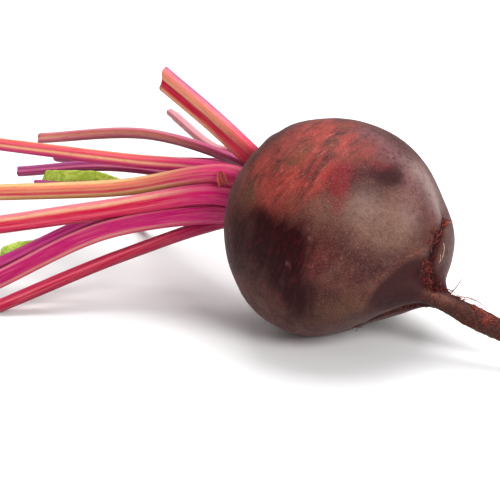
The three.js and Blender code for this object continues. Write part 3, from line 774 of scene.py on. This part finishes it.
def makeSideRoots():
    draw = random.Random(hairSeed)
    allPoints, allFaces, tones = [], [], []

    def addHair(line, thickness, tone):
        tangent = unit(np.gradient(line, axis=0))
        across = unit(np.cross(tangent, (0.31, 0.2, 0.93)))
        over = np.cross(tangent, across)
        size = thickness * np.linspace(1, hairTip, len(line))[:, None, None]
        corner = np.linspace(0, 2 * math.pi, hairSides, endpoint=False)[None, :, None]
        rings = line[:, None] + size * (across[:, None] * np.cos(corner) + over[:, None] * np.sin(corner))
        points, faces = ringMesh(rings, line[0], line[-1])
        start = sum(len(part) for part in allPoints)
        allPoints.append(points)
        allFaces.extend(tuple(i + start for i in face) for face in faces)
        tones.extend([tone] * len(points))

    for start, steps, thickness, tone in singleHairs:
        addHair(singleLine(start, steps), thickness, tone)
    for row in sideRoots.values():
        group = dict(zip(sideRootKeys, row))
        furrow = root["furrows"][group["furrow"]]
        clumps = []
        for _ in range(group["clumps"]):
            along = root["radius"] * draw.uniform(*group["along"])
            aside = group["aside"] + draw.gauss(0, group["spread"])
            drift = -0.5 * max(0, along / root["radius"] - 1.3)
            clumps.append((along, furrowTurn(furrow, along) + drift + aside / max(3, outlineRadius(along))))
        for _ in range(group["count"]):
            along, turn = draw.choice(clumps)
            along += draw.gauss(0, 0.7)
            turn += draw.gauss(0, 0.7) / max(3, outlineRadius(along))
            lineOf = lyingLine if group["lean"] is None else standingLine
            line = lineOf(draw, group, along, turn, draw.uniform(*group["length"]))
            addHair(line, group["thickness"] * draw.uniform(0.6, 1.25), draw.uniform(*group["tone"]))
    points = np.vstack(allPoints)
    points[:, 2] = np.maximum(points[:, 2], 0.02)
    makePiece("side_roots", points, allFaces, makeSideRootMaterial(), "root", {"tone": tones})


def makeSideRootMaterial():
    material, tree, shader = newMaterial("sideRoots")
    tone = attribute(tree, "tone")
    patches = noiseOf(tree, addNode(tree, "ShaderNodeTexCoord", output="Object"), 900, 2)
    paint, layers = painter(tree, sideRootLook, linear(sideRootLook["dark"]))
    paint("red", between(tree, tone, 0, 0.7))
    paint("pale", between(tree, tone, 0.65, 1.2))
    paint("patch", between(tree, patches, 0.42, 0.7, 0, 0.55))
    setInputs(tree, shader, {"Base Color": layers[-1], "Roughness": 0.6, "Specular IOR Level": 0.3})
    return material


makeSideRoots()
print("side roots made")


def stalkPath(stalk):
    seat = np.array(stalk["seat"], float)
    offset = seat - stalkForm["crownMiddle"]
    depth = np.array([-stalkForm["crownDepth"] + 0.02 * (seat @ seat)])
    point, tangent, up, across = (part[0] for part in rootFrame(depth))
    foot = point + up * seat[0] + across * seat[1]
    via, end = (np.array(stalk[key]) + underMiddle for key in ("via", "end"))
    leaving = -tangent + stalkForm["flare"] * (up * offset[0] + across * offset[1]) / 10
    leaving = unit(leaving + unit(via - foot))
    turn = math.atan2(offset[1], offset[0]) + math.radians(stalk.get("twist", 0))
    facing = -up * math.cos(turn) - across * math.sin(turn)
    return curveThrough([foot, foot + leaving * 12, via, end]), facing


def stalkHalves(stalk, share):
    clasp = 1 - smooth(share, 0, stalkForm["claspLength"])
    size = stalk["width"] / 2 * (1 + stalk.get("taper", -0.12) * share)
    thin = stalkForm["thickness"] * (1 - stalkForm["claspThinning"] * clasp)
    return size * (1 + stalkForm["claspWidening"] * clasp), size * thin


# Frames along a stalk at shares of its length: point, up (the channel's side) and across
def stalkFrames(curve, facing, share):
    point, tangent = onCurve(curve, share * curve["walked"][-1])
    across = unit(np.cross(tangent, facing))
    return point, tangent, np.cross(across, tangent), across


def makeStalkMaterial():
    material, tree, shader = newMaterial("leafStalk")
    tint = attribute(tree, "stalkTint", "Vector")
    place = attribute(tree, "stalkPlace", "Vector")
    fibres = noiseOf(tree, place, (2.4, 2.4, 0.07), 4, 0.6)
    blotches = noiseOf(tree, place, (0.8, 0.8, 0.3), 5, 0.65)
    specks = noiseOf(tree, place, (2.5, 2.5, 1.2), 3, 0.7)
    lines = noiseOf(tree, place, (5.5, 5.5, 0.12), 2, 0.5)
    cells = cellsOf(tree, place, (1.5, 1.5, 1))
    paint, layers = painter(tree, stalkLook, tint)
    paint("pale", between(tree, fibres, 0.42, 0.7, 0, 0.14))
    paint("flush", between(tree, blotches, 0.5, 0.72, 0, 0.3))
    paint("speck", between(tree, specks, 0.6, 0.75, 0, 0.35))
    paint("flush", between(tree, lines, 0.52, 0.68, 0, 0.3))
    net = between(tree, cells, 0.02, 0.12, 0.75, 0)
    paint("net", times(tree, attribute(tree, "net"), net))
    relief = maths(tree, "ADD", fibres, times(tree, lines, 0.6))
    setInputs(tree, shader, {
        "Base Color": layers[-1],
        "Roughness": between(tree, blotches, 0.3, 0.7, 0.34, 0.5),
        "Specular IOR Level": 0.18,
        "Subsurface Weight": 0.08,
        "Subsurface Radius": (0.003, 0.001, 0.001),
        "Subsurface Scale": 1,
        "Normal": bumpOf(tree, relief, 0.5, 0.0003),
    })
    return material


stalkMaterial = makeStalkMaterial()


# The colour across a stalk, from its upper edge, 1, to its lower edge, -1
def bandColour(bands, height):
    heights, colours = zip(*sorted(bands))
    colours = np.array([linear(colour)[:3] for colour in colours])
    return np.stack([np.interp(height, heights, colours[:, i]) for i in range(3)], -1)


def makeStalk(number, stalk):
    name = f"leaf_stalk_{number:02d}"
    curve, facing = stalkPath(stalk)
    length = curve["walked"][-1]
    shares = np.append(np.linspace(0, 1, stalkForm["steps"]) ** 1.2, 1 - 0.2 / length)
    share, around = tubeGrid(np.sort(shares), stalkForm["sides"])
    point, tangent, up, across = stalkFrames(curve, facing, share)
    halfWidth, halfThickness = stalkHalves(stalk, share)
    channel = stalkForm["channelDepth"] * bell(wrapped(around), stalkForm["channelWidth"])
    ribs = stalkForm["ribHeight"] * np.cos(stalkForm["ribs"] * around) * (0.6 - 0.4 * np.cos(around))
    reach = 1 - channel + ribs
    fibres = np.stack([np.cos(around) * 2.2, np.sin(around) * 2.2, share * length / 40], -1)
    reach = reach + 0.025 * grain(fibres, number) + 0.02 * grain(fibres * (3, 3, 2), number + 40)
    sideways = np.sin(around) * halfWidth * reach
    upwards = np.cos(around) * halfThickness * reach
    rings = tubeRings(point, up, across, upwards, sideways)
    ahead = stalk.get("slant", 0.25) * sideways
    rings[-2:] += tangent[-2:] * ahead[-2:, :, None]
    insets = stalkForm["cutInsets"]
    cut = [rings[-1].mean(0) + (rings[-1] - rings[-1].mean(0)) * inset for inset in insets]
    points, faces = tubeMesh(np.concatenate([rings, cut]))
    points[:, 2] = np.maximum(points[:, 2], 0)

    # the colour: bands from the upper to the lower edge, darker towards the lower edge as painted shading,
    # which run into the foot's colour
    faceUp = np.array(stalkForm["bandsUp"])
    high = unit(faceUp - tangent * (tangent @ faceUp)[..., None])
    height = (tubeRings(0, up, across, upwards, sideways) * high).sum(-1)
    height = height / np.abs(height).max(axis=1, keepdims=True)
    spots = np.stack([share * length / 12, np.cos(around), np.sin(around)], -1)
    height = height + 0.05 * grain(spots, number)
    tint = bandColour(stalk["bands"], height)
    foot = np.array(linear(stalk["foot"])[:3])
    atFoot = (stalkForm["footColour"] * (1 - smooth(share, *stalkForm["footFade"])))[..., None]
    tint = (tint + (foot - tint) * atFoot) * stalkForm["brightness"]
    grey = tint.mean(axis=-1, keepdims=True)
    tint = np.maximum(grey + (tint - grey) * stalkForm["richness"], 0)
    inChannel = bell(wrapped(around), 0.55) * (1 - smooth(share, 0.25, 0.8)) * 0.9
    flesh, heart = (np.array(linear(stalkForm[key])[:3]) * stalkForm["brightness"]
                    for key in ("flesh", "heart"))
    net = np.concatenate([inChannel.ravel(), np.zeros(len(insets) * stalkForm["sides"] + 2)])
    cutTint = [np.repeat(colour[None], stalkForm["sides"], 0) for colour in (flesh, flesh, heart)]
    tint = np.vstack([tint.reshape(-1, 3), *cutTint, [foot, heart]])
    place = np.stack([halfWidth * np.cos(around), halfWidth * np.sin(around), share * length], -1)
    place = np.vstack([place.reshape(-1, 3), *[place[-1] * inset for inset in insets],
                       [[0, 0, 0], [0, 0, length]]]) + number * 31
    makePiece(name + "_skin", points, faces, stalkMaterial, name,
              {"stalkTint": tint, "stalkPlace": place, "net": net})


for number, stalk in enumerate(stalks, 1):
    makeStalk(number, stalk)
print("stalks made")


def makeBladeMaterial():
    material, tree, shader = newMaterial("leafBlade")
    place = attribute(tree, "bladePlace", "Vector")
    edge = attribute(tree, "bladeEdge")
    patches = noiseOf(tree, place, (0.45, 0.45, 0.3), 4, 0.6, 0.6)
    fine = noiseOf(tree, place, 1.6, 4, 0.65)
    veins = cellsOf(tree, place, (0.75, 0.75, 0.4))
    paint, layers = painter(tree, bladeLook, linear(bladeLook["blade"]))
    paint("bright", between(tree, patches, 0.4, 0.62))
    dark = times(tree, between(tree, edge, 0.15, 0.75, 1, 0), between(tree, fine, 0.35, 0.6))
    paint("dark", times(tree, dark, 0.85))
    paint("vein", between(tree, veins, 0.02, 0.12, 0.5, 0))
    setInputs(tree, shader, {
        "Base Color": layers[-1],
        "Roughness": 0.45,
        "Specular IOR Level": 0.3,
        "Subsurface Weight": 0.1,
        "Subsurface Radius": (0.001, 0.002, 0.0005),
        "Subsurface Scale": 1,
        "Normal": bumpOf(tree, patches, 0.5, 0.0004),
    })
    return material


# A strip of blade, crinkled along its free edge and cut off at a slant
def makeStrip(number, strip):
    host = stalks[strip["stalk"] - 1]
    curve, facing = stalkPath(host)
    share, around = tubeGrid(np.linspace(0, 1, bladeForm["steps"]), bladeForm["sides"])
    hostShare = strip["start"] + (strip["stop"] - strip["start"]) * share
    point, tangent, up, across = stalkFrames(curve, facing, hostShare)
    halfWidth, _ = stalkHalves(host, hostShare)
    height = strip["width"] * (0.35 + 0.65 * smooth(share, 0.05, 0.5))
    middle = halfWidth - 1.7 + height / 2
    edge = (1 + np.sin(around)) / 2
    wave = bladeForm["wave"] * np.sin(9 * share + strip["side"]) * share
    length = curve["walked"][-1] * (strip["stop"] - strip["start"])
    spots = np.stack([share * length / 3.2, edge * height / 6, around * 0], -1)
    wave = wave + bladeForm["crinkle"] * grain(spots, number + 60) * edge ** 2 * 1.6
    face = np.clip(1.6 * np.cos(around), -1, 1)
    thick = bladeForm["thickness"] / 2 * (1 - 0.3 * edge)
    ragged = 0.25 * grain(np.stack([share * length / 1.8, around * 0, around * 0], -1), number + 70) * edge
    upwards = wave + face * thick
    sideways = strip["side"] * middle + np.sin(around) * (height / 2 + ragged * strip["side"])
    rings = tubeRings(point, up, across, upwards, sideways)
    ahead = -bladeForm["slant"] * (np.sin(around) + 1) * height / 2 * smooth(share, 0.75, 1)
    points, faces = tubeMesh(rings + tangent * ahead[..., None])
    points[:, 2] = np.maximum(points[:, 2], 0)
    place = np.stack([upwards, sideways, share * length], -1).reshape(-1, 3)
    place = np.vstack([place, [[0, 0, 0], [0, 0, length]]]) + number * 17
    edges = np.concatenate([edge.ravel(), [0.5, 0.5]])
    name = f"leaf_strip_{number}"
    makePiece(name + "_blade", points, faces, bladeMaterial, name,
              {"bladePlace": place, "bladeEdge": edges})


bladeMaterial = makeBladeMaterial()
for number, strip in enumerate(bladeStrips, 1):
    makeStrip(number, strip)
print("leaf strips made")


def makeBract():
    foot, tip, facing = (np.array(bract[key], float) for key in ("foot", "tip", "facing"))
    foot, tip = foot + underMiddle, tip + underMiddle
    share, around = tubeGrid(np.linspace(0.02, 0.98, bract["steps"]), bract["sides"])
    tangent = unit(tip - foot)
    across = unit(np.cross(tangent, facing))
    up = np.cross(across, tangent)
    half = bract["width"] / 2 * np.sqrt(1 - share) * (0.75 + 0.5 * share) * (1 + 0.06 * np.sin(21 * share))
    sideways = np.sin(around) * half
    fold = bract["hollow"] * (np.abs(np.sin(around)) ** 1.5) * (1 - 0.4 * share)
    upwards = bract["bow"] * np.sin(math.pi * share) + fold + np.cos(around) * bract["thickness"] / 2
    upwards = upwards + bract["curl"] * share ** 2
    spine = foot + (tip - foot) * share[..., None]
    points, faces = tubeMesh(tubeRings(spine, up, across, upwards, sideways))
    material, tree, shader = newMaterial("driedLeafBase")
    crumple = noiseOf(tree, addNode(tree, "ShaderNodeTexCoord", output="Object"), 1500, 3)
    paint, layers = painter(tree, bract, linear(bract["inside"]))
    paint("rim", between(tree, attribute(tree, "rim"), 0.7, 0.98))
    paint("rim", between(tree, crumple, 0.5, 0.7, 0, 0.6))
    setInputs(tree, shader, {"Base Color": layers[-1], "Roughness": 0.6, "Specular IOR Level": 0.25})
    rims = np.concatenate([np.abs(np.sin(around)).ravel(), [0.5, 1]])
    makePiece("crown_bract", points, faces, material, None, {"rim": rims})


makeBract()
print("bract made")


# Floor, light and camera
studio = {
    "floorHalf": 3,
    "floorColour": (0.91, 0.91, 0.91, 1),
    "floorRoughness": 0.3,
    "roomLight": 0.4,
    # name, place in metres, size in metres, power in watts
    "lights": [
        ("keyLight", (0.85, -0.35, 0.62), 0.45, 11),
        ("topLight", (-0.15, 0.35, 1.1), 0.9, 16),
    ],
    "lightsAim": (0, 0, 0.03),
}


def makeStudio():
    mesh = bpy.data.meshes.new("floor")
    half = studio["floorHalf"]
    corners = [(-half, -half, 0), (half, -half, 0), (half, half, 0), (-half, half, 0)]
    mesh.from_pydata(corners, [], [(0, 1, 2, 3)])
    floor = addObject("floor", mesh)
    material, tree, shader = newMaterial("paleFloor")
    setInputs(tree, shader, {"Base Color": studio["floorColour"], "Roughness": studio["floorRoughness"]})
    mesh.materials.append(material)
    world = bpy.data.worlds.new("softRoom")
    world.use_nodes = True
    background = world.node_tree.nodes["Background"]
    setInputs(world.node_tree, background, {"Color": (1, 1, 1, 1), "Strength": studio["roomLight"]})
    bpy.context.scene.world = world
    for name, place, size, power in studio["lights"]:
        lamp = bpy.data.lights.new(name, "AREA")
        lamp.size = size
        lamp.energy = power
        light = addObject(name, lamp)
        light.location = place
        aim = Vector(studio["lightsAim"]) - Vector(place)
        light.rotation_euler = aim.to_track_quat("-Z", "Y").to_euler()


makeStudio()

photoCamera = {
    "azimuth": 33.6,  # degrees round from looking along +Y
    "elevation": 21,
    "distance": 650,
    "lens": 135.7,
    "sensor": 36,
    "aim": (342.5, 232.5),  # pixel of the globe's middle
    "frameMiddle": 250,  # in pixels
    "mmPerPixel": 0.345,
}


def makeCamera():
    azimuth, elevation = (math.radians(photoCamera[key]) for key in ("azimuth", "elevation"))
    back = Vector((math.sin(azimuth) * math.cos(elevation), -math.cos(azimuth) * math.cos(elevation),
                   math.sin(elevation)))
    right = Vector((math.cos(azimuth), math.sin(azimuth), 0))
    up = back.cross(right)
    aside, below = (pixel - photoCamera["frameMiddle"] for pixel in photoCamera["aim"])
    place = Vector(root["middle"]) + back * photoCamera["distance"]
    place += (up * below - right * aside) * photoCamera["mmPerPixel"]
    data = bpy.data.cameras.new("photoCamera")
    data.lens = photoCamera["lens"]
    data.sensor_width = photoCamera["sensor"]
    data.clip_start = 0.01
    camera = addObject("photoCamera", data)
    camera.matrix_world = Matrix.Translation(place * mm) @ Matrix((right, up, back)).transposed().to_4x4()
    bpy.context.scene.camera = camera


makeCamera()
bpy.context.scene.view_settings.view_transform = "Standard"
print("studio made")
